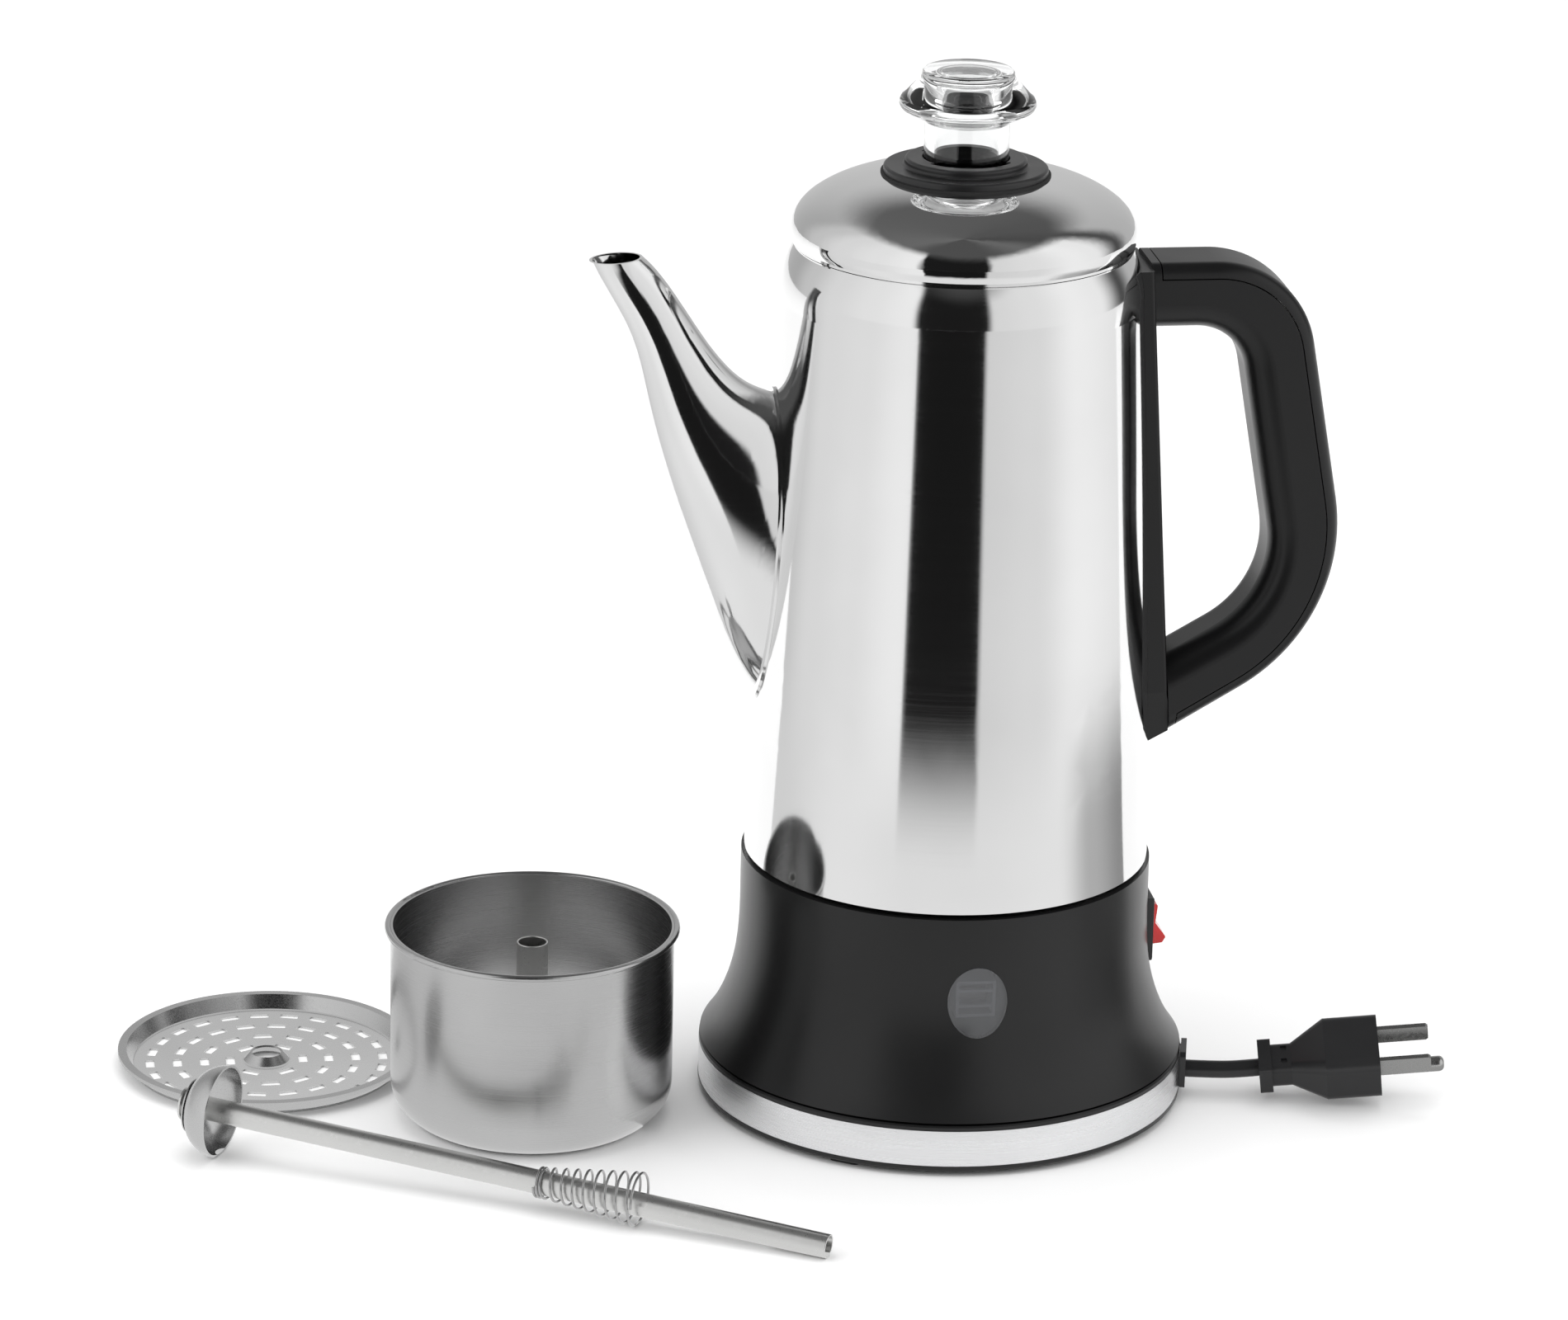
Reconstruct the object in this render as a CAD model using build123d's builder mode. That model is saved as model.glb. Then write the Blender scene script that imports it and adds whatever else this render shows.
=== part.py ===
"""Electric coffee percolator with its basket, spreader and pump stem laid out beside it.

Millimetres, +Z up. The spout points to -X, the handle to +X and the indicator lens to -Y. The
shapes are drawn with the axis of the pot at X = Y = 0, and at the end the whole set is moved so
that the origin is on the surface it stands on, below the middle of the set.
"""

import os
from math import atan2, cos, degrees, hypot, pi, radians, sin, tan

from build123d import *

os.makedirs("parts", exist_ok=True)

# ---------------------------------------------------------------- driving dimensions
FOOT_H = 1.6  # rubber feet under the base
BASE_R = 74.4  # powered base, outer radius
TRIM_Z0, TRIM_Z1 = 3.4, 14.6  # brushed trim band round the base
BASE_TOP = 16.2  # lip of the base
SKIRT_Z0, SKIRT_Z1 = 17.0, 77.3  # flared plastic skirt of the pot
SKIRT_R0, SKIRT_R1 = 74.0, 62.3
SKIRT_WALL = 2.2
BODY_R0, BODY_R1 = 61.5, 54.0  # steel body, above the skirt and below the shoulder
BODY_Z0, BODY_Z1 = 77.6, 251.6
BODY_WALL = 0.9
RIM_R, RIM_Z = 50.3, 267.6  # mouth of the body, below its lip
LIP_H = 0.4
FLOOR_Z = 63.0  # inside floor of the vessel
LID_Z0 = 269.2  # lower edge of the lid
KNOB_NECK_R, KNOB_BORE_R = 12.6, 9.6
KNOB_RIM_R, KNOB_TOP_R, KNOB_TOP = 20.2, 13.6, 320.9
HANDLE_W = 26.0  # width of the grip along Y
GRIP_SKIN = 4.4  # depth of the outer cover of the grip
LENS_Z, LENS_W, LENS_H = 51.3, 18.0, 21.8
SWITCH_Z, SWITCH_X = 51.0, 60.8  # rocker pivot
BASKET_XY, BASKET_R, BASKET_H = (-127.7, -11.4), 42.8, 61.5
SPREADER_XY, SPREADER_R, SPREADER_H = (-205.2, 35.2), 45.8, 5.2
STEM_BOWL_XY, STEM_TIP_XY = (-222.8, -36.4), (-53.5, -128.1)
TUBE_R, TUBE_WALL = 3.6, 0.5
BOWL_R, BOWL_DEPTH = 14.0, 10.2
CORD_D = 5.4
OUTLET_AZ = -13.0  # where the cord leaves the base, degrees from +X
OUTLET_R = 76.2  # outer face of the outlet plate
PLUG_AT = (98.3, -21.6, 10.2)  # middle of the plug's collar
PLUG_YAW, PLUG_PITCH, PLUG_ROLL = -10.5, 6.7, 26.0


nodes = {}


def save(part, name):
    """Labels a finished node and keeps it for writing at the end."""
    part.label = name
    nodes[name] = part


def turned(*points):
    """Solid of revolution about Z of a closed outline of (radius, height) points."""
    with BuildPart() as solid:
        with BuildSketch(Plane.XZ):
            with BuildLine():
                Polyline(*points, close=True)
            make_face()
        revolve(axis=Axis.Z)
    return solid.part


def ring(r_in, r_out, z0, z1):
    """Plain turned ring, or a disc where r_in is 0."""
    return turned((r_in, z0), (r_out, z0), (r_out, z1), (r_in, z1))


def block(x0, x1, y0, y1, z0, z1):
    """Box between two corners."""
    centre = Pos((x0 + x1) / 2, (y0 + y1) / 2, (z0 + z1) / 2)
    return centre * Box(x1 - x0, y1 - y0, z1 - z0, mode=Mode.PRIVATE)


# ================================================================= powered base
OUTLET_DIR = (cos(radians(OUTLET_AZ)), sin(radians(OUTLET_AZ)), 0)
OUTLET_Z = 8.6
outlet_plane = Plane(
    origin=(OUTLET_R * OUTLET_DIR[0], OUTLET_R * OUTLET_DIR[1], OUTLET_Z), x_dir=(0, 0, 1), z_dir=OUTLET_DIR
)
outlet_notch = outlet_plane * Pos(1.0, 0, -5.0) * Box(9.4, 13.0, 10.0)

with BuildPart() as base_tray:
    add(
        turned(
            (20.0, FOOT_H),
            (BASE_R - 0.6, FOOT_H),
            (BASE_R, FOOT_H + 0.6),
            (BASE_R, TRIM_Z0),
            (BASE_R - 0.9, TRIM_Z0),
            (BASE_R - 0.9, TRIM_Z1),
            (BASE_R - 0.2, TRIM_Z1),
            (BASE_R - 0.2, BASE_TOP - 0.5),
            (BASE_R - 0.7, BASE_TOP),
            (BASE_R - 2.6, BASE_TOP),
            (BASE_R - 3.4, BASE_TOP - 0.8),
            (BASE_R - 3.4, FOOT_H + 2.4),
            (20.0, FOOT_H + 2.4),
        )
    )
    add(outlet_notch, mode=Mode.SUBTRACT)
    with BuildSketch(Plane.XY.offset(FOOT_H)):
        with PolarLocations(48.0, 3, start_angle=-60):
            Circle(1.7)
        with PolarLocations(68.0, 3, start_angle=-123):
            RectangleRounded(7.0, 9.2, 1.5)
        with PolarLocations(36.0, 12):
            SlotOverall(12.0, 2.4)
    extrude(amount=2.4, mode=Mode.SUBTRACT)
save(base_tray.part, "base_tray")

with BuildPart() as base_deck:
    add(
        turned(
            (11.0, 10.4),
            (BASE_R - 3.6, 10.4),
            (BASE_R - 3.6, 12.6),
            (62.0, 12.6),
            (60.0, 14.7),
            (56.0, 14.7),
            (54.0, 12.6),
            (24.0, 12.6),
            (22.0, 14.4),
            (11.0, 14.4),
        )
    )
    with BuildSketch(Plane.XY.offset(4.2)):
        with PolarLocations(48.0, 3, start_angle=-60):
            Circle(3.6)
    extrude(amount=6.3)
    with BuildSketch(Plane.XY.offset(4.0)):
        with PolarLocations(48.0, 3, start_angle=-60):
            Circle(1.3)
    extrude(amount=6.0, mode=Mode.SUBTRACT)
    add(outlet_notch, mode=Mode.SUBTRACT)
save(base_deck.part, "base_deck")

with BuildPart() as trim_band:
    add(ring(BASE_R - 0.9, BASE_R - 0.1, TRIM_Z0, TRIM_Z1))
    add(outlet_notch, mode=Mode.SUBTRACT)
save(trim_band.part, "trim_band")

with BuildPart() as base_feet:
    with BuildSketch(Plane.XY):
        with PolarLocations(68.0, 3, start_angle=-123):
            RectangleRounded(7.0, 9.2, 1.5)
    extrude(amount=FOOT_H + 2.4)
save(base_feet.part, "base_feet")

with BuildPart() as base_screws:
    with BuildSketch(Plane.XY.offset(2.2)):
        with PolarLocations(48.0, 3, start_angle=-60):
            Circle(1.3)
    extrude(amount=7.0)
    with BuildSketch(Plane.XY.offset(1.7)):
        with PolarLocations(48.0, 3, start_angle=-60):
            Circle(1.7)
    extrude(amount=2.0)
    with BuildSketch(Plane.XY.offset(1.7)):
        with PolarLocations(48.0, 3, start_angle=-60):
            Rectangle(2.4, 0.5)
            Rectangle(0.5, 2.4)
    extrude(amount=0.7, mode=Mode.SUBTRACT)
save(base_screws.part, "base_screws")

with BuildPart() as base_connector:
    add(ring(0, 10.8, 4.2, 15.4))
    add(ring(0, 7.4, 15.4, 24.0))
    add(ring(4.6, 5.8, 12.0, 24.0), mode=Mode.SUBTRACT)
    add(ring(0, 1.6, 12.0, 24.0), mode=Mode.SUBTRACT)
    chamfer(base_connector.faces().sort_by(Axis.Z)[-1].edges(), 0.3)
save(base_connector.part, "base_connector")

with BuildPart() as base_contacts:
    add(ring(4.6, 4.75, 12.0, 22.5))
    add(ring(5.65, 5.8, 12.0, 21.0))
    add(ring(0, 1.2, 12.0, 23.0))
save(base_contacts.part, "base_contacts")

with BuildPart() as base_leads:
    for shift in (-3.0, 0.0, 3.0):
        lead_start = outlet_plane * Pos(-1.6, shift, -10.0)
        with BuildLine():
            FilletPolyline(
                lead_start.position,
                (lead_start * Pos(0, 0, -12.0)).position,
                (15.0, -2.0 + shift, 7.2),
                (11.6, -1.0 + 0.9 * shift, 7.2),
                radius=3.0,
            )
        with BuildSketch(Plane(origin=lead_start.position, z_dir=(-OUTLET_DIR[0], -OUTLET_DIR[1], 0))):
            Circle(0.9)
        sweep()
save(base_leads.part, "base_leads")

# ---------------------------------------------------------------- cord and plug
CORD_POINTS = [(68.6, -15.8, 8.6), (79.8, -18.4, 8.5), (91.2, -20.3, 8.8), (103.2, -22.5, 10.8)]


def corner_radii(points):
    """One radius for each corner of the route: 0.45 of its shorter run over the tangent of half the turn."""
    radii = []
    for before, corner, after in zip(points, points[1:], points[2:]):
        run_in, run_out = Vector(corner) - Vector(before), Vector(after) - Vector(corner)
        turn = radians(run_in.get_angle(run_out))
        radii.append(0.45 * min(run_in.length, run_out.length) / tan(turn / 2))
    return radii


cord_radii = corner_radii(CORD_POINTS)
with BuildPart() as cord:
    with BuildLine():
        cord_route = FilletPolyline(*CORD_POINTS, radius=cord_radii)
    with BuildSketch(Plane(origin=cord_route @ 0, z_dir=cord_route % 0)):
        Circle(CORD_D / 2)
    sweep()
cord_length = cord_route.length
print("cord radii", [round(r, 1) for r in cord_radii], "length", round(cord_length, 2))
print("cord volume over section times length", cord.part.volume / (pi * CORD_D**2 / 4 * cord_length))
save(cord.part, "cord")

with BuildPart() as cord_outlet:
    with BuildSketch(outlet_plane.offset(-1.7)):
        with Locations((1.75, 0)):
            RectangleRounded(11.7, 14.0, 1.5)
    extrude(amount=1.7)
    with BuildSketch(outlet_plane.offset(-10.0)):
        with Locations((1.0, 0)):
            Rectangle(9.0, 12.6)
    extrude(amount=8.3)
    add(cord.part, mode=Mode.SUBTRACT)
save(cord_outlet.part, "cord_outlet")

plug_axis = Vector(
    cos(radians(PLUG_YAW)) * cos(radians(PLUG_PITCH)),
    sin(radians(PLUG_YAW)) * cos(radians(PLUG_PITCH)),
    sin(radians(PLUG_PITCH)),
)
plug_side = plug_axis.cross(Vector(0, 0, -1)).normalized()
plug_across = plug_side * cos(radians(PLUG_ROLL)) + plug_axis.cross(plug_side) * sin(radians(PLUG_ROLL))
plug_plane = Plane(origin=PLUG_AT, x_dir=plug_across, z_dir=plug_axis)
plug_line = Axis(plug_plane.origin, plug_plane.z_dir)
PLUG_FACE = 35.0  # from the collar to the face that carries the blades

with BuildPart() as plug_body:
    with BuildSketch(plug_plane.offset(-2.0)):
        RectangleRounded(13.6, 11.4, 1.5)
    extrude(amount=4.0)
    with BuildSketch(plug_plane.offset(2.0)):
        RectangleRounded(11.4, 9.6, 2.5)
    extrude(amount=9.0)
    with BuildSketch(plug_plane.offset(8.0)):
        RectangleRounded(11.4, 9.6, 2.5)
    with BuildSketch(plug_plane.offset(18.5)):
        with Locations((0, 1.2)):
            RectangleRounded(22.4, 16.8, 3.6)
    loft()
    with BuildSketch(plug_plane.offset(18.5)):
        with Locations((0, 1.2)):
            RectangleRounded(22.4, 16.8, 3.6)
    extrude(amount=PLUG_FACE - 18.5)
    for side in (-1, 1):
        with BuildSketch(plug_plane.offset(5.0)):
            with Locations((side * 2.6, 4.9), (side * 2.6, -4.9)):
                Rectangle(1.8, 1.6)
        extrude(amount=1.8, mode=Mode.SUBTRACT)
    add(cord.part, mode=Mode.SUBTRACT)
save(plug_body.part, "plug_body")

with BuildPart() as plug_blades:
    for side in (-1, 1):
        with BuildSketch(plug_plane.offset(PLUG_FACE)):
            with Locations((side * 6.35, 3.4)):
                Rectangle(1.5, 6.0)
        extrude(amount=15.6)
    with BuildSketch(plug_plane.rotated((0, 90, 0)).offset(-10.0)):
        with Locations((-PLUG_FACE - 11.4, 3.4)):
            Circle(1.6)
    extrude(amount=20.0, mode=Mode.SUBTRACT)
    tips = plug_blades.faces().sort_by(plug_line)[-2:]
    chamfer([e for tip in tips for e in tip.edges() if e.length < 2.0], 0.7)
save(plug_blades.part, "plug_blades")

with BuildPart() as plug_ground:
    with BuildSketch(plug_plane.offset(PLUG_FACE)):
        with Locations((0, -4.7)):
            Circle(2.4)
    extrude(amount=19.8)
    fillet(plug_ground.faces().sort_by(plug_line)[-1].edges(), 1.6)
save(plug_ground.part, "plug_ground")

# ================================================================= pot: skirt and what it covers
SKIRT_CURVE = [(SKIRT_R0, SKIRT_Z0), (71.7, 20.2), (67.1, 29.5), (63.9, 41.0), (62.6, 53.0), (SKIRT_R1, SKIRT_Z1)]


def skirt_shell(grow, wall):
    """Flared shell of the skirt; grow moves its outer face out, and wall is its thickness."""
    outer = [(r + grow, z) for r, z in SKIRT_CURVE]
    inner = [(r + grow - wall, z) for r, z in SKIRT_CURVE]
    with BuildPart() as shell:
        with BuildSketch(Plane.XZ):
            with BuildLine():
                Spline(*outer)
                Line(outer[-1], inner[-1])
                Spline(*inner)
                Line(inner[0], outer[0])
            make_face()
        revolve(axis=Axis.Z)
    return shell.part


def lens_prism(shrink=0.0):
    """Oval column through the front of the skirt."""
    with BuildPart() as prism:
        with BuildSketch(Plane.XZ.offset(45.0)):
            with Locations((0, LENS_Z)):
                Ellipse(LENS_W / 2 - shrink, LENS_H / 2 - shrink)
        extrude(amount=35.0)
    return prism.part


BEZEL = (56.0, 64.6, -7.4, 7.4, SWITCH_Z - 10.2, SWITCH_Z + 10.2)
with BuildPart() as skirt:
    add(skirt_shell(0, SKIRT_WALL))
    add(lens_prism(), mode=Mode.SUBTRACT)
    add(block(*BEZEL), mode=Mode.SUBTRACT)
save(skirt.part, "skirt")

with BuildPart() as indicator_lens:
    add(skirt_shell(0.3, SKIRT_WALL + 0.3))
    add(lens_prism(), mode=Mode.INTERSECT)
save(indicator_lens.part, "indicator_lens")

with BuildPart() as lamp_housing:
    add(block(-5.9, 5.9, -58.6, -48.0, LENS_Z - 5.9, LENS_Z + 5.5))
    add(block(-5.0, 5.0, -58.6, -49.0, LENS_Z - 5.0, LENS_Z + 4.6), mode=Mode.SUBTRACT)
    for rib in (-2.6, 2.2):
        add(block(-5.0, 5.0, -58.2, -56.6, LENS_Z + rib - 0.4, LENS_Z + rib + 0.4))
save(lamp_housing.part, "lamp_housing")

with BuildPart() as neon_lamp:
    with BuildSketch(Plane.YZ.offset(-4.2)):
        with Locations((-53.0, LENS_Z - 0.2)):
            Circle(1.9)
    extrude(amount=8.4)
    fillet(neon_lamp.edges(), 1.2)
save(neon_lamp.part, "neon_lamp")

with BuildPart() as skirt_seal:
    add(ring(58.65, SKIRT_R1 - SKIRT_WALL - 0.1, 66.0, 76.4))
save(skirt_seal.part, "skirt_seal")

with BuildPart() as bottom_cover:
    add(
        turned(
            (17.6, 17.0),
            (22.0, 17.0),
            (24.0, 15.0),
            (62.5, 15.0),
            (65.5, 18.0),
            (SKIRT_R0 - 3.5, 18.0),
            (SKIRT_R0 - 3.5, 19.8),
            (64.5, 19.8),
            (61.5, 17.0),
            (24.0, 17.0),
            (22.0, 21.0),
            (17.6, 21.0),
        )
    )
    with BuildSketch(Plane.XY.offset(10.0)):
        with PolarLocations(44.0, 3, start_angle=60):
            Circle(1.6)
    extrude(amount=12.0, mode=Mode.SUBTRACT)
    add(skirt.part, mode=Mode.SUBTRACT)
save(bottom_cover.part, "bottom_cover")

with BuildPart() as bottom_screws:
    with BuildSketch(Plane.XY.offset(15.2)):
        with PolarLocations(44.0, 3, start_angle=60):
            Circle(1.55)
    extrude(amount=14.0)
save(bottom_screws.part, "bottom_screws")

with BuildPart() as bottom_posts:
    with BuildSketch(Plane.XY.offset(17.2)):
        with PolarLocations(44.0, 3, start_angle=60):
            Circle(4.0)
    extrude(amount=FLOOR_Z - 5.9 - 17.2)
    with BuildSketch(Plane.XY.offset(17.2)):
        with PolarLocations(44.0, 3, start_angle=60):
            Circle(1.6)
    extrude(amount=13.0, mode=Mode.SUBTRACT)
save(bottom_posts.part, "bottom_posts")

with BuildPart() as pot_socket:
    add(ring(0, 17.4, 17.4, 34.0))
    add(ring(0, 11.4, 17.4, 19.0), mode=Mode.SUBTRACT)
    add(ring(0, 8.0, 17.4, 27.0), mode=Mode.SUBTRACT)
save(pot_socket.part, "pot_socket")

with BuildPart() as socket_contacts:
    add(ring(5.05, 5.35, 18.0, 27.0))
    add(ring(0, 0.9, 23.4, 27.0))
save(socket_contacts.part, "socket_contacts")

# ---------------------------------------------------------------- vessel
body_outside = [(BODY_R0, BODY_Z0 + 1.2), (58.4, 166.0), (BODY_R1, BODY_Z1)]
shoulder_outside = [(BODY_R1, BODY_Z1), (52.9, 261.6), (RIM_R, RIM_Z)]
WELL_R, WELL_DEPTH = 17.0, 5.0


def vessel(inset):
    """Vessel solid inside its outer face (0) or inside its wall (the wall's thickness)."""
    foot = FLOOR_Z - BODY_WALL + inset
    top = RIM_Z + LIP_H + max(inset, 0)
    with BuildPart() as solid:
        with BuildSketch(Plane.XZ):
            with BuildLine():
                Polyline(
                    (0, foot - WELL_DEPTH),
                    (WELL_R - 4.0 - inset, foot - WELL_DEPTH),
                    (WELL_R + 1.0 - inset, foot),
                    (55.0, foot),
                    (58.6 - inset, foot + 3.6),
                    (58.6 - inset, 76.6),
                    (BODY_R0 - inset, BODY_Z0 + 1.2),
                )
                ThreePointArc(*[(r - inset, z) for r, z in body_outside])
                ThreePointArc(*[(r - inset, z) for r, z in shoulder_outside])
                Polyline((RIM_R - inset, RIM_Z), (RIM_R - inset, top), (0, top), (0, foot - WELL_DEPTH))
            make_face()
        revolve(axis=Axis.Z)
    return solid.part


vessel_solid = vessel(0)

# spout sections: lower point and upper point in the XZ plane, and width along Y
SPOUT_SECTIONS = [
    ((-111.4, 264.7), (-95.6, 265.8), 13.2),
    ((-105.4, 253.7), (-90.8, 260.8), 12.9),
    ((-98.8, 240.1), (-82.4, 248.9), 15.4),
    ((-94.9, 225.0), (-73.5, 235.9), 18.6),
    ((-80.4, 176.0), (-56.1, 223.2), 28.5),
    ((-70.7, 149.8), (-49.1, 219.4), 31.2),
    ((-49.5, 120.6), (-42.0, 218.0), 32.8),
]


def spout_solid(grow):
    """Lofted spout, grown outwards by grow on every side (negative for its bore)."""
    with BuildPart() as solid:
        for low, high, width in SPOUT_SECTIONS:
            tall = hypot(high[0] - low[0], high[1] - low[1])
            middle = ((low[0] + high[0]) / 2, 0, (low[1] + high[1]) / 2)
            up = Vector(high[0] - low[0], 0, high[1] - low[1]).normalized()
            across = Plane(origin=middle, x_dir=up, z_dir=up.cross(Vector(0, 1, 0)))
            with BuildSketch(across):
                Ellipse(tall / 2 + grow, width / 2 + grow)
        loft()
    return solid.part


SPOUT_WALL = 0.8
spout_outer = spout_solid(0)
mouth = SPOUT_SECTIONS[0]
mouth_centre = ((mouth[0][0] + mouth[1][0]) / 2, 0, (mouth[0][1] + mouth[1][1]) / 2)
mouth_tall = mouth[1][0] - mouth[0][0]

with BuildPart() as spout:
    add(spout_outer)
    add(vessel_solid, mode=Mode.SUBTRACT)
    add(spout_solid(-SPOUT_WALL), mode=Mode.SUBTRACT)
    with BuildSketch(Plane(origin=mouth_centre, x_dir=(1, 0, 0.02), z_dir=(-0.02, 0, 1)).offset(-0.6)):
        Ellipse(mouth_tall / 2 - SPOUT_WALL, mouth[2] / 2 - SPOUT_WALL)
    extrude(amount=2.0, mode=Mode.SUBTRACT)
save(spout.part, "spout")

with BuildPart() as spout_band:
    add(vessel(-0.7))
    add(spout_solid(1.6), mode=Mode.INTERSECT)
    add(vessel_solid, mode=Mode.SUBTRACT)
    add(spout_outer, mode=Mode.SUBTRACT)
save(spout_band.part, "spout_band")

with BuildPart() as pot_body:
    add(vessel_solid)
    add(vessel(BODY_WALL), mode=Mode.SUBTRACT)
    with BuildSketch(Plane.YZ.offset(-70.0)):
        with Locations((0, 178.0)):
            with GridLocations(5.2, 5.6, 3, 11):
                Circle(1.5)
    extrude(amount=30.0, mode=Mode.SUBTRACT)
save(pot_body.part, "pot_body")

# ---------------------------------------------------------------- heating and control parts
with BuildPart() as heater_plate:
    add(ring(WELL_R + 2.5, 46.0, FLOOR_Z - 5.9, FLOOR_Z - BODY_WALL))
    add(ring(27.0, 35.0, FLOOR_Z - 5.9, FLOOR_Z - 3.2), mode=Mode.SUBTRACT)
save(heater_plate.part, "heater_plate")

with BuildPart() as heating_element:
    with BuildLine():
        element_path = CenterArc((0, 0, FLOOR_Z - 6.4), 31.0, 30, 300)
    with BuildSketch(Plane(origin=element_path @ 0, z_dir=element_path % 0)):
        Circle(3.2)
    sweep()
    for end in (0, 1):
        with BuildSketch(Plane.XY.offset(FLOOR_Z - 16.0)):
            with Locations(((element_path @ end).X, (element_path @ end).Y)):
                Circle(1.4)
        extrude(amount=9.6)
save(heating_element.part, "heating_element")

with BuildPart() as thermostat:
    with BuildSketch(Plane.XY.offset(FLOOR_Z - 17.0)):
        Circle(8.5)
    extrude(amount=10.9)
    with BuildSketch(Plane.XY.offset(FLOOR_Z - 7.4)):
        SlotOverall(24.0, 7.0)
    extrude(amount=1.4)
save(thermostat.part, "thermostat")

with BuildPart() as thermal_fuse:
    with BuildSketch(Plane.YZ.offset(-8.0)):
        with Locations((-22.0, FLOOR_Z - 8.2)):
            Circle(2.0)
    extrude(amount=16.0)
save(thermal_fuse.part, "thermal_fuse")

with BuildPart() as pot_leads:
    for start, turn, end in (
        ((50.0, 3.0, 51.0), (24.0, 3.0, 51.0), (13.0, 3.0, 35.0)),
        ((50.0, -3.0, 51.0), (24.0, -3.0, 51.0), (13.0, -3.0, 35.0)),
        ((0.0, -47.6, LENS_Z), (0.0, -28.0, 42.0), (0.0, -14.0, 35.2)),
    ):
        with BuildLine() as lead:
            lead_path = FilletPolyline(start, turn, end, radius=6.0)
        with BuildSketch(Plane(origin=lead_path @ 0, z_dir=lead_path % 0)):
            Circle(1.0)
        sweep()
save(pot_leads.part, "pot_leads")

# ---------------------------------------------------------------- rocker switch
with BuildPart() as switch_bezel:
    add(block(*BEZEL))
    fillet(switch_bezel.faces().sort_by(Axis.X)[-1].edges(), 0.8)
    add(block(50.0, 70.0, -5.7, 5.7, SWITCH_Z - 8.8, SWITCH_Z + 8.8), mode=Mode.SUBTRACT)
    with BuildSketch(Plane.XZ.offset(6.6)):
        with Locations((SWITCH_X, SWITCH_Z)):
            Circle(1.2)
    extrude(amount=-13.2, mode=Mode.SUBTRACT)
save(switch_bezel.part, "switch_bezel")

with BuildPart() as switch_body:
    add(block(47.0, 56.0, -7.4, 7.4, SWITCH_Z - 10.2, SWITCH_Z + 10.2))
    add(block(53.0, 56.0, -5.7, 5.7, SWITCH_Z - 8.8, SWITCH_Z + 8.8), mode=Mode.SUBTRACT)
    add(pot_leads.part, mode=Mode.SUBTRACT)
save(switch_body.part, "switch_body")

with BuildPart() as rocker:
    with BuildSketch(Plane.XZ.offset(-5.2)):
        with Locations(Location((SWITCH_X, SWITCH_Z), 15.0)):
            Polygon((-3.2, -5.6), (5.4, -6.9), (6.9, -5.4), (4.8, 0), (6.9, 5.4), (5.4, 6.9), (-3.2, 5.6), align=None)
    extrude(amount=10.4)
    fillet(rocker.edges().filter_by(Axis.Y).sort_by(Axis.X)[-3:], 0.6)
    with BuildSketch(Plane.XZ.offset(-6.0)):
        with Locations((SWITCH_X, SWITCH_Z)):
            Circle(1.25)
    extrude(amount=12.0, mode=Mode.SUBTRACT)
save(rocker.part, "rocker")

with BuildPart() as rocker_pin:
    with BuildSketch(Plane.XZ.offset(6.6)):
        with Locations((SWITCH_X, SWITCH_Z)):
            Circle(1.2)
    extrude(amount=-13.2)
save(rocker_pin.part, "rocker_pin")

# ---------------------------------------------------------------- handle
STRIP_TOP, STRIP_LOW = (55.2, 262.0), (65.6, 116.9)  # outer face of the backing strip, in the XZ plane
STRIP_TIP = (56.0, 111.25)  # in line with the underside of the lower arm
BOSS_Z = (253.0, 133.5)
SCREW_HEAD_X = (74.0, 72.0)

with BuildPart() as handle_bosses:
    with BuildSketch(Plane.YZ.offset(50.0)):
        with Locations(*[(0, z) for z in BOSS_Z]):
            Circle(3.4)
    extrude(amount=5.5)
    with BuildSketch(Plane.YZ.offset(50.0)):
        with Locations((0, BOSS_Z[1])):
            Circle(3.4)
    extrude(amount=13.3)
    add(vessel_solid, mode=Mode.SUBTRACT)
    with BuildSketch(Plane.YZ.offset(50.0)):
        with Locations(*[(0, z) for z in BOSS_Z]):
            Circle(1.6)
    extrude(amount=30.0, mode=Mode.SUBTRACT)
save(handle_bosses.part, "handle_bosses")

with BuildPart() as handle_screws:
    for z, head_x in zip(BOSS_Z, SCREW_HEAD_X):
        first = 54.2 if z == BOSS_Z[0] else 61.0
        with BuildSketch(Plane.YZ.offset(first)):
            with Locations((0, z)):
                Circle(1.6)
        extrude(amount=head_x - first)
        with BuildSketch(Plane.YZ.offset(head_x)):
            with Locations((0, z)):
                Circle(3.0)
        extrude(amount=1.8)
        with BuildSketch(Plane.YZ.offset(head_x + 1.0)):
            with Locations((0, z)):
                Rectangle(4.2, 0.7)
                Rectangle(0.7, 4.2)
        extrude(amount=0.8, mode=Mode.SUBTRACT)
save(handle_screws.part, "handle_screws")

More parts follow.
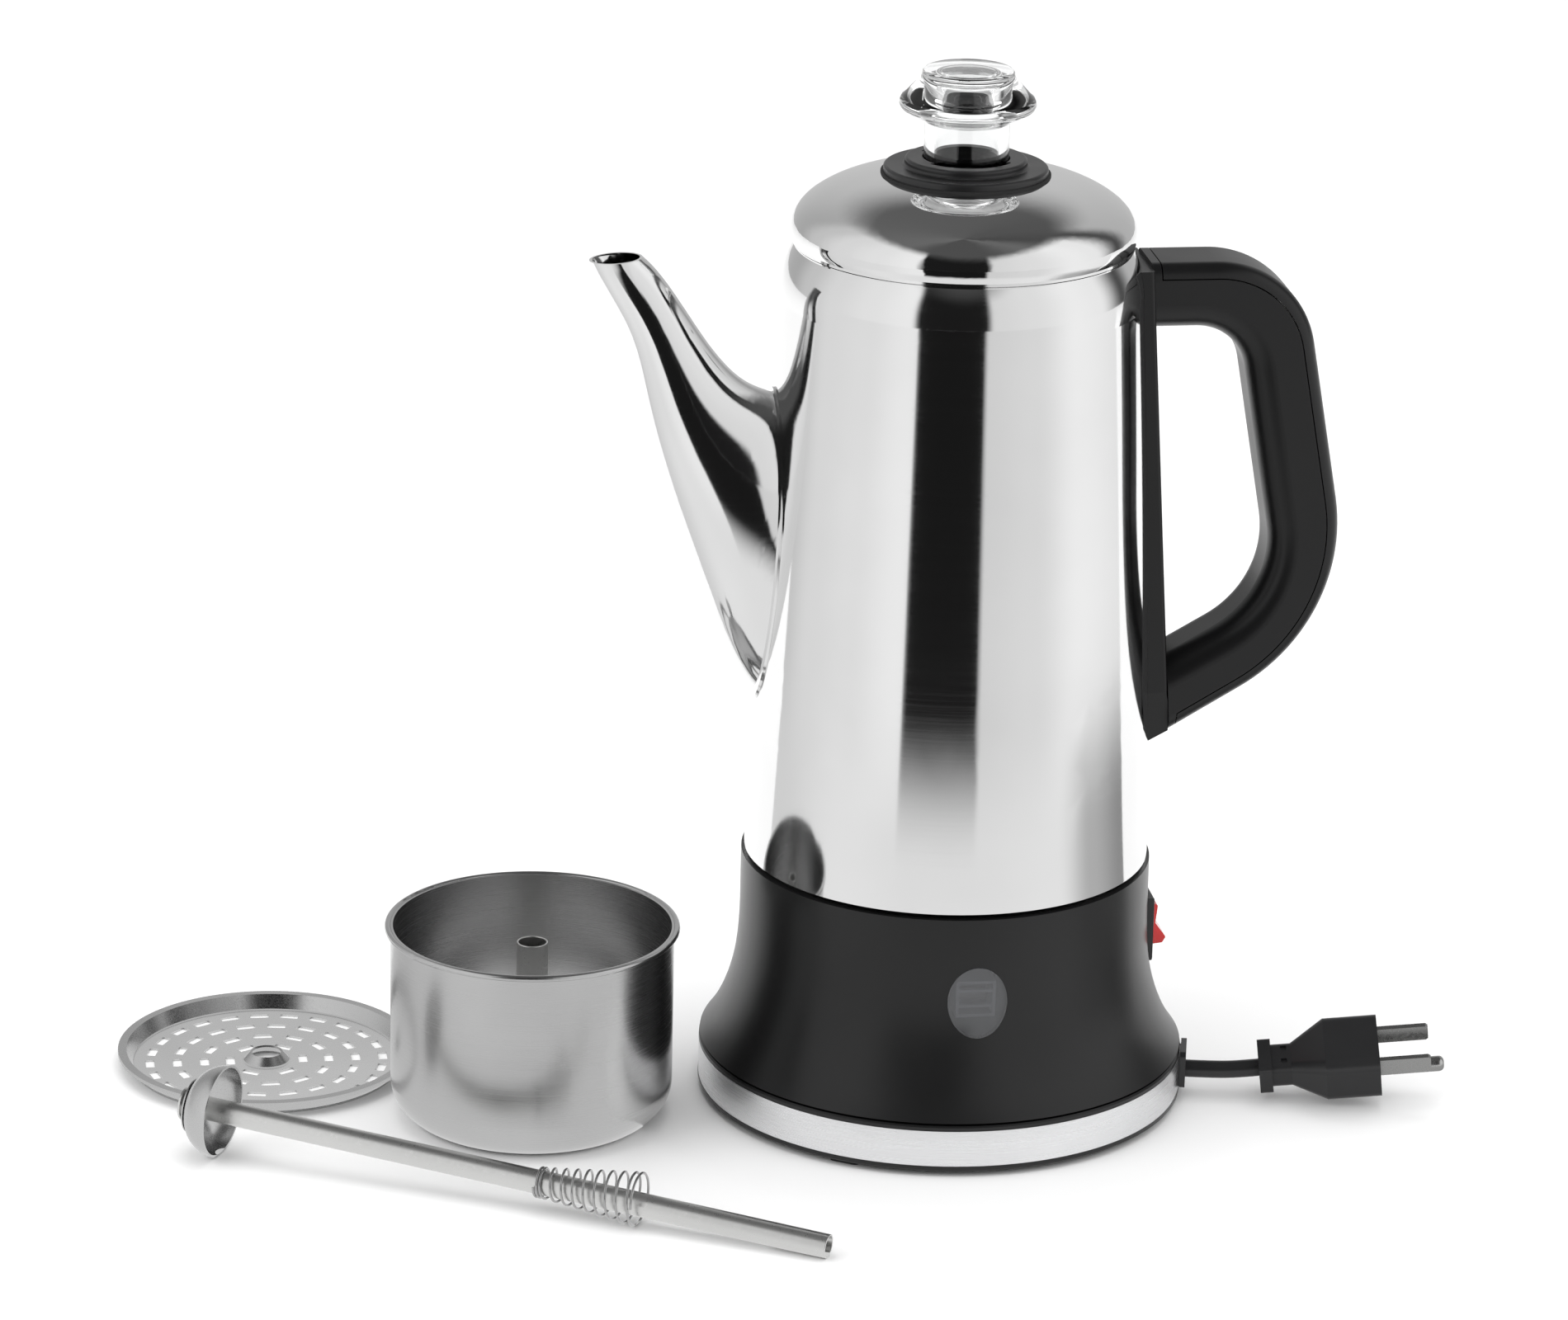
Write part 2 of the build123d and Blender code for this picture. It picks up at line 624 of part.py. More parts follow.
with BuildPart() as handle_strip:
    with BuildSketch(Plane.XZ):
        with BuildLine():
            Polyline((40.0, STRIP_TOP[1]), STRIP_TOP, STRIP_LOW, STRIP_TIP, (40.0, STRIP_TIP[1]), close=True)
        make_face()
    extrude(amount=16.0, both=True)
    with BuildSketch(Plane.YZ.offset(30.0)):
        with BuildLine():
            Polyline((-14.4, 264.5), (-13.2, 130.0), (-9.0, 110.0), (9.0, 110.0), (13.2, 130.0), (14.4, 264.5), close=True)
        make_face()
    extrude(amount=50.0, mode=Mode.INTERSECT)
    outer_face = handle_strip.faces().filter_by(lambda f: f.normal_at().X > 0.9).sort_by(SortBy.AREA)[-1]
    fillet([e for e in outer_face.edges() if e.length > 60], 1.2)
    add(vessel_solid, mode=Mode.SUBTRACT)
    add(handle_bosses.part, mode=Mode.SUBTRACT)
    add(handle_screws.part, mode=Mode.SUBTRACT)
    with BuildSketch(Plane.YZ.offset(50.0)):
        with Locations(*[(0, z) for z in BOSS_Z]):
            Circle(1.6)
    extrude(amount=30.0, mode=Mode.SUBTRACT)
save(handle_strip.part, "handle_strip")

GRIP_TOP_Z, OPENING_TOP_Z = 263.3, 243.1
GRIP_LOW_Z, OPENING_LOW_Z = 116.9, 139.4  # where the lower arm meets the strip
GRIP_CORNERS, GRIP_RADII = [(100.9, GRIP_TOP_Z), (121.9, 150.1)], [31.0, 57.0]
OPENING_CORNERS, OPENING_RADII = [(98.3, 159.0), (83.1, OPENING_TOP_Z)], [31.0, 16.0]


def strip_face_x(z):
    """Where the outer face of the backing strip is at a height."""
    return STRIP_TOP[0] + (STRIP_LOW[0] - STRIP_TOP[0]) * (STRIP_TOP[1] - z) / (STRIP_TOP[1] - STRIP_LOW[1])


def on_strip(z):
    """Point of the strip's outer face at a height."""
    return (strip_face_x(z), z)


def on_outside(edge):
    """Whether a side edge of the grip runs along its outer outline."""
    middle = edge.center()
    return middle.Z > 254.0 or middle.X > 104.0 or (middle.Z < 127.0 and middle.X > 70.0)


def on_opening(edge):
    """Whether a side edge of the grip runs along the finger opening."""
    middle = edge.center()
    return 60.0 < middle.X < 94.0 and 140.0 < middle.Z < 244.0


with BuildPart() as handle_solid:
    with BuildSketch(Plane.XZ.offset(-HANDLE_W / 2)):
        with BuildLine():
            FilletPolyline(on_strip(GRIP_TOP_Z), *GRIP_CORNERS, on_strip(GRIP_LOW_Z), radius=GRIP_RADII)
            FilletPolyline(on_strip(OPENING_LOW_Z), *OPENING_CORNERS, on_strip(OPENING_TOP_Z), radius=OPENING_RADII)
            Line(on_strip(GRIP_LOW_Z), on_strip(OPENING_LOW_Z))
            Line(on_strip(OPENING_TOP_Z), on_strip(GRIP_TOP_Z))
        make_face()
    extrude(amount=HANDLE_W)
    fillet([e for e in handle_solid.faces().filter_by(Axis.Y).edges() if on_outside(e)], 5.0)
    fillet([e for e in handle_solid.faces().filter_by(Axis.Y).edges() if on_opening(e)], 8.0)

with BuildPart() as grip_core:
    with BuildSketch(Plane.XZ) as core_outline:
        with BuildLine():
            low_end = (30.0, GRIP_LOW_Z - 0.59 * (strip_face_x(GRIP_LOW_Z) - 30.0))
            FilletPolyline((30.0, GRIP_TOP_Z), *GRIP_CORNERS, low_end, radius=GRIP_RADII)
            Line(low_end, (30.0, GRIP_TOP_Z))
        make_face()
        offset(amount=-GRIP_SKIN, kind=Kind.INTERSECTION)
    extrude(amount=30.0, both=True)
    with BuildSketch(Plane.XZ):
        with Locations((48.0, 262.0)):
            Rectangle(19.3, 14.0)
        with Locations((57.0, 118.0)):
            Rectangle(21.0, 14.0)
    extrude(amount=30.0, both=True)

with BuildPart() as handle_grip:
    add(handle_solid.part)
    add(grip_core.part, mode=Mode.INTERSECT)
    for z, head_x in zip(BOSS_Z, SCREW_HEAD_X):
        with BuildSketch(Plane.YZ.offset(head_x)):
            with Locations((0, z)):
                Circle(3.4)
        extrude(amount=40.0, mode=Mode.SUBTRACT)
        with BuildSketch(Plane.YZ.offset(50.0)):
            with Locations((0, z)):
                Circle(1.6)
        extrude(amount=40.0, mode=Mode.SUBTRACT)
save(handle_grip.part, "handle_grip")

with BuildPart() as handle_cover:
    add(handle_solid.part)
    with BuildSketch(Plane.XZ):
        add(core_outline.sketch)
        offset(amount=0.35, kind=Kind.INTERSECTION)
    extrude(amount=30.0, both=True, mode=Mode.SUBTRACT)
    add(block(40.0, 58.0, -30, 30, 254.0, 270.0), mode=Mode.SUBTRACT)
    add(block(40.0, 67.85, -30, 30, 100.0, 125.0), mode=Mode.SUBTRACT)
save(handle_cover.part, "handle_cover")

# ================================================================= lid and knob
with BuildPart() as bayonet_slots:
    with BuildSketch(Plane.XY.offset(280.0)):
        Circle(14.4)
        Rectangle(23.8, 40.0, mode=Mode.INTERSECT)
        Rectangle(40.0, 15.0, mode=Mode.SUBTRACT)
    extrude(amount=20.0)

LID_CURVE = [(50.7, LID_Z0), (51.4, 272.2), (50.2, 276.9), (44.2, 282.7), (32.4, 287.6), (22.0, 289.6), (0.0, 290.9)]


def lid_dome(inset):
    """Solid under the lid's outer face, moved in by inset."""
    curve = [(max(r - inset, 0.0), z - (inset if z > 273 else 0)) for r, z in LID_CURVE]
    with BuildPart() as solid:
        with BuildSketch(Plane.XZ):
            with BuildLine():
                Spline(*curve)
                Polyline(curve[-1], (0, LID_Z0), curve[0])
            make_face()
        revolve(axis=Axis.Z)
    return solid.part


with BuildPart() as lid_shell:
    add(lid_dome(0))
    add(lid_dome(0.9), mode=Mode.SUBTRACT)
    add(ring(0, 13.3, 280, 300), mode=Mode.SUBTRACT)
    add(bayonet_slots.part, mode=Mode.SUBTRACT)
save(lid_shell.part, "lid_shell")

with BuildPart() as lid_ring:
    add(
        turned(
            (47.4, 258.4),
            (47.0, 258.0),
            (48.3, 258.0),
            (48.3, 268.4),
            (50.7, 268.4),
            (50.7, LID_Z0),
            (47.4, LID_Z0),
        )
    )
save(lid_ring.part, "lid_ring")

with BuildPart() as lid_gasket:
    add(ring(13.3, 25.2, 286.0, 292.0))
    add(lid_dome(-0.5), mode=Mode.INTERSECT)
    add(lid_dome(0), mode=Mode.SUBTRACT)
    add(bayonet_slots.part, mode=Mode.SUBTRACT)
save(lid_gasket.part, "lid_gasket")

with BuildPart() as lid_washer:
    add(ring(13.0, 24.4, 287.0, 291.9))
    add(ring(13.0, 18.1, 290.0, 294.3))
    fillet(lid_washer.edges().filter_by(GeomType.CIRCLE).filter_by(lambda e: e.center().Z > 291 and e.radius > 17), 0.9)
    add(lid_dome(-0.5), mode=Mode.SUBTRACT)
    add(bayonet_slots.part, mode=Mode.SUBTRACT)
save(lid_washer.part, "lid_washer")

with BuildPart() as knob:
    with BuildSketch(Plane.XZ):
        with BuildLine():
            Polyline((KNOB_BORE_R, 284.4), (KNOB_NECK_R, 284.4), (KNOB_NECK_R, 305.2))
            Spline((KNOB_NECK_R, 305.2), (14.6, 306.6), (KNOB_RIM_R - 1.0, 308.8), tangents=((0.1, 1), (1, 0.45)))
            ThreePointArc((KNOB_RIM_R - 1.0, 308.8), (KNOB_RIM_R, 310.4), (KNOB_RIM_R - 0.6, 312.4))
            Spline((KNOB_RIM_R - 0.6, 312.4), (16.3, 315.8), (KNOB_TOP_R, 320.0), tangents=((-0.8, 0.6), (-0.1, 1)))
            ThreePointArc((KNOB_TOP_R, 320.0), (KNOB_TOP_R - 0.4, 320.6), (KNOB_TOP_R - 1.1, KNOB_TOP))
            Line((KNOB_TOP_R - 1.1, KNOB_TOP), (0, KNOB_TOP))
            Line((0, KNOB_TOP), (0, 317.0))
            Line((0, 317.0), (KNOB_BORE_R - 1.6, 317.0))
            ThreePointArc((KNOB_BORE_R - 1.6, 317.0), (KNOB_BORE_R - 0.5, 316.5), (KNOB_BORE_R, 315.4))
            Line((KNOB_BORE_R, 315.4), (KNOB_BORE_R, 284.4))
        make_face()
    revolve(axis=Axis.Z)
    with BuildSketch(Plane.XY.offset(286.2)):
        Circle(13.9)
        Circle(KNOB_NECK_R - 0.2, mode=Mode.SUBTRACT)
        Rectangle(16.0, 40.0, mode=Mode.SUBTRACT)
    extrude(amount=2.2)
save(knob.part, "knob")

# ================================================================= loose parts on the surface
SLOT_W, SLOT_L = 2.8, 5.8


def slot_rings(rings):
    """Sketch of rectangular slots: a list of (radius, count)."""
    with BuildSketch() as slots:
        for radius, count in rings:
            with PolarLocations(radius, count):
                Rectangle(SLOT_W, SLOT_L)
    return slots.sketch


basket_place = Pos(BASKET_XY[0], BASKET_XY[1], 0)
BEAD_R = 0.95
with BuildPart() as basket_shell:
    for inset, cut in ((0.0, Mode.ADD), (0.7, Mode.SUBTRACT)):
        with BuildSketch(Plane.XZ):
            with BuildLine():
                corner = 12.0 - inset
                foot = (BASKET_R - 12.0, inset)
                side = (BASKET_R - inset, 12.0)
                Polyline((0, inset), foot)
                RadiusArc(foot, side, -corner)
                Polyline(side, (BASKET_R - inset, BASKET_H - 0.5), (0, BASKET_H - 0.5), (0, inset))
            make_face()
        revolve(axis=Axis.Z, mode=cut)
    with BuildSketch(Plane.XZ):
        with Locations((BASKET_R + 0.85, BASKET_H - BEAD_R)):
            Circle(BEAD_R)
    revolve(axis=Axis.Z)
    add(slot_rings([(10.4, 6), (18.2, 12), (26.0, 18)]))
    extrude(amount=2.0, both=True, mode=Mode.SUBTRACT)
    add(ring(0, 4.75, -1.0, 2.0), mode=Mode.SUBTRACT)
save(basket_place * basket_shell.part, "basket_shell")

with BuildPart() as basket_tube:
    add(ring(4.15, 4.75, 0.0, 55.4))
    fillet(basket_tube.edges().sort_by(Axis.Z)[-2:], 0.25)
save(basket_place * basket_tube.part, "basket_tube")

with BuildPart() as spreader:
    add(
        turned(
            (4.4, 3.0),
            (5.0, 3.4),
            (7.4, 0.6),
            (41.0, 0.6),
            (43.2, SPREADER_H),
            (SPREADER_R, SPREADER_H),
            (SPREADER_R, 4.0),
            (SPREADER_R - 0.6, 4.0),
            (SPREADER_R - 0.6, SPREADER_H - 0.6),
            (43.7, SPREADER_H - 0.6),
            (41.5, 0.0),
            (7.1, 0.0),
        )
    )
    add(slot_rings([(11.2, 6), (19.2, 12), (27.6, 18), (36.0, 24)]))
    extrude(amount=0.8, both=True, mode=Mode.SUBTRACT)
save(Pos(SPREADER_XY[0], SPREADER_XY[1], 0) * spreader.part, "spreader")

# pump stem, made upright with the bowl's rim at 0 and the tip up, then laid down
stem_run = hypot(STEM_TIP_XY[0] - STEM_BOWL_XY[0], STEM_TIP_XY[1] - STEM_BOWL_XY[1])
stem_tilt = atan2(BOWL_R - TUBE_R, stem_run)
bowl_centre = Vector(*STEM_BOWL_XY, BOWL_R * cos(stem_tilt) + 0.02)
tip_centre = Vector(*STEM_TIP_XY, TUBE_R * cos(stem_tilt) + 0.02)
STEM_L = (tip_centre - bowl_centre).length
stem_axis = (tip_centre - bowl_centre).normalized()
stem_place = Plane(origin=bowl_centre, x_dir=(stem_axis.Y, -stem_axis.X, 0), z_dir=stem_axis).location
print("stem length", round(STEM_L, 2), "axis", stem_axis)

BOWL_WALL = 0.7
with BuildPart() as pump_bowl:
    with BuildSketch(Plane.XZ):
        with BuildLine():
            ThreePointArc((BOWL_R, 0), (11.2, -6.8), (3.0, -BOWL_DEPTH))
            Line((3.0, -BOWL_DEPTH), (3.0, BOWL_WALL - BOWL_DEPTH))
            ThreePointArc((3.0, BOWL_WALL - BOWL_DEPTH), (10.7, -6.3), (BOWL_R - BOWL_WALL, 0))
            Line((BOWL_R - BOWL_WALL, 0), (BOWL_R, 0))
        make_face()
    revolve(axis=Axis.Z)
    add(ring(0, TUBE_R, -20.0, 10.0), mode=Mode.SUBTRACT)
save(stem_place * pump_bowl.part, "pump_bowl")

with BuildPart() as pump_tube:
    add(ring(TUBE_R - TUBE_WALL, TUBE_R, -12.0, STEM_L))
    add(ring(TUBE_R - TUBE_WALL, 5.0, -12.6, -12.0))
    fillet(pump_tube.edges().sort_by(Axis.Z)[-2:], 0.2)
save(stem_place * pump_tube.part, "pump_tube")

with BuildPart() as valve_disc:
    add(turned((4.0, -10.6), (8.3, -9.4), (8.3, -9.8), (4.0, -11.05)))
save(stem_place * valve_disc.part, "valve_disc")

SPRING_Z0, SPRING_Z1, WIRE_R = 102.0, 134.0, 0.38
COIL_R0, COIL_R1 = 4.4, 7.8
SPRING_LEAN = 2.8  # the wide end rests on the surface, so the spring leans on the tube
CLOSE_PITCH, CONE_TURNS = 1.0, 8


def coil(start_z, height, pitch, radius, cone=0.0):
    """Wire wound from a height on the stem, opening by cone degrees."""
    with BuildPart() as wire:
        with BuildLine():
            path = Helix(pitch=pitch, height=height, radius=radius, center=(0, 0, start_z), cone_angle=cone)
        with BuildSketch(Plane(origin=path @ 0, z_dir=path % 0)):
            Circle(WIRE_R)
        sweep(is_frenet=True)
    return wire.part


close_h = 2 * CLOSE_PITCH
cone_h = SPRING_Z1 - SPRING_Z0 - close_h - CLOSE_PITCH
cone_angle = degrees(atan2(COIL_R1 - COIL_R0, cone_h))
spring_parts = [
    coil(SPRING_Z0, close_h, CLOSE_PITCH, COIL_R0),
    coil(SPRING_Z0 + close_h, cone_h, cone_h / CONE_TURNS, COIL_R0, cone_angle),
    coil(SPRING_Z1 - CLOSE_PITCH, CLOSE_PITCH, CLOSE_PITCH, COIL_R1),
]
with BuildPart() as spring:
    for piece in spring_parts:
        add(piece)
spring_sag = Pos(0, 0, SPRING_Z0) * Rot(SPRING_LEAN, 0, 0) * Pos(0, 0, -SPRING_Z0)
save(stem_place * spring_sag * spring.part, "spring")

# ---------------------------------------------------------------- origin below the middle of the set
CORD_SIDE = ("cord", "plug_body", "plug_blades", "plug_ground")
boxes = [part.bounding_box() for name, part in nodes.items() if name not in CORD_SIDE]
middle_x = (min(box.min.X for box in boxes) + max(box.max.X for box in boxes)) / 2
middle_y = (min(box.min.Y for box in boxes) + max(box.max.Y for box in boxes)) / 2
print("axis of the pot at", round(-middle_x, 3), round(-middle_y, 3))
for name, part in nodes.items():
    placed = Pos(-middle_x, -middle_y, 0) * part
    placed.label = name
    export_step(placed, f"parts/{name}.step")
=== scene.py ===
"""Looks of the electric percolator set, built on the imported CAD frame. Metres, +Z up."""

import math

import bpy
from mathutils import Matrix, Vector


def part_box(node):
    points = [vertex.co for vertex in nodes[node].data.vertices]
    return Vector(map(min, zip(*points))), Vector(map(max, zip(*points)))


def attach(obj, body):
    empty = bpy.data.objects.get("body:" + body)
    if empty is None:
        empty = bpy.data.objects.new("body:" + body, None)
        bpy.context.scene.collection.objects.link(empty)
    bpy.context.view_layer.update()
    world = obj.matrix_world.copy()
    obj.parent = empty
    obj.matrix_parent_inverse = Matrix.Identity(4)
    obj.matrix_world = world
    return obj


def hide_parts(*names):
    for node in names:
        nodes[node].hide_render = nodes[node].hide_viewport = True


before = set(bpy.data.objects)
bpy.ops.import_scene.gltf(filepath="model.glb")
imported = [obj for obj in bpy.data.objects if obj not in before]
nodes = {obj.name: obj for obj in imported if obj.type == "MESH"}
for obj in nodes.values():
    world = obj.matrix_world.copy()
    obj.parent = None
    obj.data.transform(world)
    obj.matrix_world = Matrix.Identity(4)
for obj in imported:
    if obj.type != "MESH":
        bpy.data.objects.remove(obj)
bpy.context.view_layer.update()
scene = bpy.context.scene

base_low, base_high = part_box("base_tray")
AXIS = (base_low + base_high) / 2
AXIS.z = 0.0


def at(x, y, z):
    """Point given in millimetres from the foot of the pot's axis, in the row frame in metres."""
    return AXIS + Vector((x, y, z)) / 1000


# ---------------------------------------------------------------- camera
HEADING, PITCH, ROLL = math.radians(8.584), math.radians(18.763), math.radians(1.2408)
CAMERA_AT = (-316.8, -1760.8, 744.1)
LENS, SENSOR = 143.36, 36.0

level = math.cos(PITCH)
forward = Vector((math.sin(HEADING) * level, math.cos(HEADING) * level, -math.sin(PITCH)))
level_right = forward.cross(Vector((0, 0, 1))).normalized()
level_up = level_right.cross(forward)
right = level_right * math.cos(ROLL) + level_up * math.sin(ROLL)
up = level_up * math.cos(ROLL) - level_right * math.sin(ROLL)

camera_data = bpy.data.cameras.new("camera")
camera_data.lens = LENS
camera_data.sensor_width = SENSOR
camera_data.clip_start = 0.05
camera_data.clip_end = 50.0
camera = bpy.data.objects.new("camera", camera_data)
scene.collection.objects.link(camera)
facing = Matrix((right, up, -forward)).transposed().to_4x4()
camera.matrix_world = Matrix.Translation(at(*CAMERA_AT)) @ facing
scene.camera = camera

# ---------------------------------------------------------------- cord
CORD_ROUTE = [(68.6, -15.8, 8.6), (79.8, -18.4, 8.5), (91.2, -20.3, 8.8), (103.2, -22.5, 10.8)]
CORD_D, CORD_LENGTH = 0.0054, 0.0354

curve = bpy.data.curves.new("cord_line", "CURVE")
curve.dimensions = "3D"
curve.bevel_depth = 1.0
curve.bevel_resolution = 8
curve.use_fill_caps = True
line = curve.splines.new("NURBS")
line.points.add(len(CORD_ROUTE) - 1)
for point, place in zip(line.points, CORD_ROUTE):
    point.co = (*at(*place), 1.0)
    point.radius = CORD_D / 2
line.order_u = 3
line.use_endpoint_u = True
line.resolution_u = 24
flex = bpy.data.objects.new("cord_flex", curve)
scene.collection.objects.link(flex)
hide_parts("cord")
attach(flex, "base")


# ---------------------------------------------------------------- material building
class Surface:
    """A new material with its Principled shader and short calls for the nodes that feed it."""

    def __init__(self, name, **values):
        self.material = bpy.data.materials.new(name)
        self.material.use_nodes = True
        self.tree = self.material.node_tree
        self.shader = self.tree.nodes["Principled BSDF"]
        for key, value in values.items():
            socket = self.shader.inputs[key.replace("_", " ")]
            socket.default_value = (*value, 1.0) if isinstance(value, tuple) else value

    def node(self, kind, **settings):
        made = self.tree.nodes.new(kind)
        for key, value in settings.items():
            setattr(made, key, value)
        return made

    def join(self, source, target):
        self.tree.links.new(source, target)

    def place(self, scale=(1, 1, 1), turn=(0, 0, 0)):
        """Object coordinates in metres, turned and stretched."""
        coords = self.node("ShaderNodeTexCoord")
        mapping = self.node("ShaderNodeMapping")
        mapping.inputs["Rotation"].default_value = turn
        mapping.inputs["Scale"].default_value = scale
        self.join(coords.outputs["Object"], mapping.inputs["Vector"])
        return mapping.outputs["Vector"]

    def noise(self, vector, scale=1.0, detail=3.0, rough=0.55):
        made = self.node("ShaderNodeTexNoise")
        made.inputs["Scale"].default_value = scale
        made.inputs["Detail"].default_value = detail
        made.inputs["Roughness"].default_value = rough
        self.join(vector, made.inputs["Vector"])
        return made.outputs["Fac"]

    def spread(self, value, low, high, from_low=0.3, from_high=0.7):
        """Rescales a 0 to 1 value to a narrow range."""
        made = self.node("ShaderNodeMapRange")
        made.inputs["From Min"].default_value = from_low
        made.inputs["From Max"].default_value = from_high
        made.inputs["To Min"].default_value = low
        made.inputs["To Max"].default_value = high
        self.join(value, made.inputs["Value"])
        return made.outputs["Result"]

    def tint(self, value, dark, light):
        """Blends two colours by a value."""
        made = self.node("ShaderNodeMix", data_type="RGBA")
        made.inputs["A"].default_value = (*dark, 1.0)
        made.inputs["B"].default_value = (*light, 1.0)
        self.join(value, made.inputs["Factor"])
        return made.outputs["Result"]

    def bump(self, value, strength, distance):
        made = self.node("ShaderNodeBump")
        made.inputs["Strength"].default_value = strength
        made.inputs["Distance"].default_value = distance
        self.join(value, made.inputs["Height"])
        self.join(made.outputs["Normal"], self.shader.inputs["Normal"])

    def feed(self, value, name):
        self.join(value, self.shader.inputs[name])


def steel(name, dark, light, rough, grain, stretch, turn=(0, 0, 0), depth=0.00002, strength=0.1):
    """Stainless steel: fine grain lines stretched one way, and slow changes of tone."""
    made = Surface(name, Metallic=1.0)
    lines = made.noise(made.place(stretch, turn), grain, 4.0, 0.7)
    cloud = made.noise(made.place(), 14.0, 3.0)
    made.feed(made.tint(made.spread(cloud, 0.0, 1.0), dark, light), "Base Color")
    made.feed(made.spread(lines, rough[0], rough[1]), "Roughness")
    made.bump(lines, strength, depth)
    return made.material


def plastic(name, dark, light, rough, grain=900.0, strength=0.12, sheen=0.5):
    """Moulded plastic or rubber: fine orange-peel grain and slow changes of gloss."""
    made = Surface(name, Specular_IOR_Level=sheen)
    fine = made.noise(made.place(), grain, 3.0)
    cloud = made.noise(made.place(), 18.0, 3.0)
    made.feed(made.tint(made.spread(cloud, 0.0, 1.0), dark, light), "Base Color")
    made.feed(made.spread(cloud, rough[0], rough[1]), "Roughness")
    made.bump(fine, strength, 0.00005)
    return made.material


AROUND = (14.0, 14.0, 2600.0)  # grain stretched round an upright axis
SPUN = (9.0, 9.0, 6500.0)  # finer, for the basket
EVEN = (1, 1, 1)

polished = steel(
    "polished_steel", (0.80, 0.80, 0.80), (0.86, 0.86, 0.86), (0.05, 0.10), 1.0, AROUND,
    strength=0.02,
)
mirror = steel(
    "mirror_steel", (0.80, 0.80, 0.80), (0.86, 0.86, 0.86), (0.03, 0.06), 1.0, AROUND,
    strength=0.0,
)
satin = steel(
    "satin_steel", (0.50, 0.50, 0.50), (0.58, 0.58, 0.58), (0.2, 0.29), 1.0,
    SPUN, strength=0.05,
)
trim = steel(
    "trim_steel", (0.72, 0.72, 0.73), (0.80, 0.80, 0.81), (0.22, 0.36), 1.0, AROUND,
    strength=0.05,
)
sheet = steel(
    "pressed_steel", (0.52, 0.52, 0.52), (0.6, 0.6, 0.6), (0.2, 0.3), 1400.0, EVEN,
    strength=0.04,
)
tube = steel(
    "drawn_steel", (0.68, 0.68, 0.67), (0.76, 0.76, 0.75), (0.26, 0.36), 900.0, EVEN,
    strength=0.05,
)
wire = steel(
    "wire_steel", (0.40, 0.40, 0.40), (0.52, 0.52, 0.52), (0.12, 0.22), 900.0, EVEN,
    strength=0.05,
)
blade = steel(
    "blade_steel", (0.44, 0.44, 0.44), (0.58, 0.58, 0.57), (0.18, 0.36), 900.0, EVEN,
    strength=0.1,
)
zinc = steel(
    "zinc_steel", (0.55, 0.55, 0.53), (0.65, 0.65, 0.62), (0.3, 0.45), 900.0, EVEN,
    strength=0.1,
)
brass = steel(
    "contact_brass", (0.62, 0.45, 0.18), (0.74, 0.56, 0.26), (0.2, 0.35), 900.0, EVEN,
    strength=0.1,
)
cast = steel(
    "cast_aluminium", (0.6, 0.6, 0.61), (0.7, 0.7, 0.71), (0.4, 0.6), 350.0, EVEN,
    strength=0.5,
)
sheath = steel(
    "element_sheath", (0.2, 0.18, 0.16), (0.35, 0.32, 0.3), (0.4, 0.6), 400.0, EVEN,
    strength=0.3,
)
skirt_black = plastic(
    "satin_black", (0.006, 0.006, 0.0062), (0.009, 0.009, 0.0093), (0.27, 0.35), sheen=0.36,
)
handle_black = plastic(
    "handle_black", (0.004, 0.004, 0.0043), (0.006, 0.006, 0.0063), (0.28, 0.38),
    strength=0.16, sheen=0.36,
)
washer_black = plastic("washer_black", (0.007, 0.007, 0.0075), (0.011, 0.011, 0.0115), (0.28, 0.4))
cord_black = plastic(
    "cord_black", (0.010, 0.010, 0.011), (0.016, 0.016, 0.017), (0.28, 0.4), strength=0.1,
)
rubber = plastic("black_rubber", (0.012, 0.012, 0.012), (0.02, 0.02, 0.02), (0.6, 0.8), strength=0.3)
grey_plastic = plastic("grey_plastic", (0.45, 0.45, 0.46), (0.55, 0.55, 0.56), (0.35, 0.5))
lead_cover = plastic("lead_cover", (0.7, 0.69, 0.65), (0.78, 0.77, 0.73), (0.5, 0.65))

ACRYLIC_IOR = 1.49
clear = Surface(
    "clear_plastic",
    Base_Color=(0.985, 0.99, 0.99), Roughness=0.015, IOR=ACRYLIC_IOR, Transmission_Weight=1.0,
)
clear.bump(clear.noise(clear.place(), 90.0, 2.0), 0.03, 0.0002)
smoke = Surface("smoke_lens", Base_Color=(0.50, 0.51, 0.53), IOR=ACRYLIC_IOR, Transmission_Weight=0.9)
smoke.feed(smoke.spread(smoke.noise(smoke.place(), 300.0), 0.08, 0.16), "Roughness")
lamp = Surface("lamp_glass", Base_Color=(0.95, 0.9, 0.86), IOR=1.45, Transmission_Weight=0.6)
lamp.feed(lamp.spread(lamp.noise(lamp.place(), 400.0), 0.1, 0.2), "Roughness")
red = Surface(
    "red_rocker",
    IOR=ACRYLIC_IOR, Transmission_Weight=0.25, Subsurface_Weight=0.2, Coat_Weight=0.3,
)
red.feed(red.tint(red.noise(red.place(), 120.0), (0.62, 0.006, 0.008), (0.80, 0.012, 0.014)), "Base Color")
red.feed(red.spread(red.noise(red.place(), 300.0), 0.15, 0.25), "Roughness")

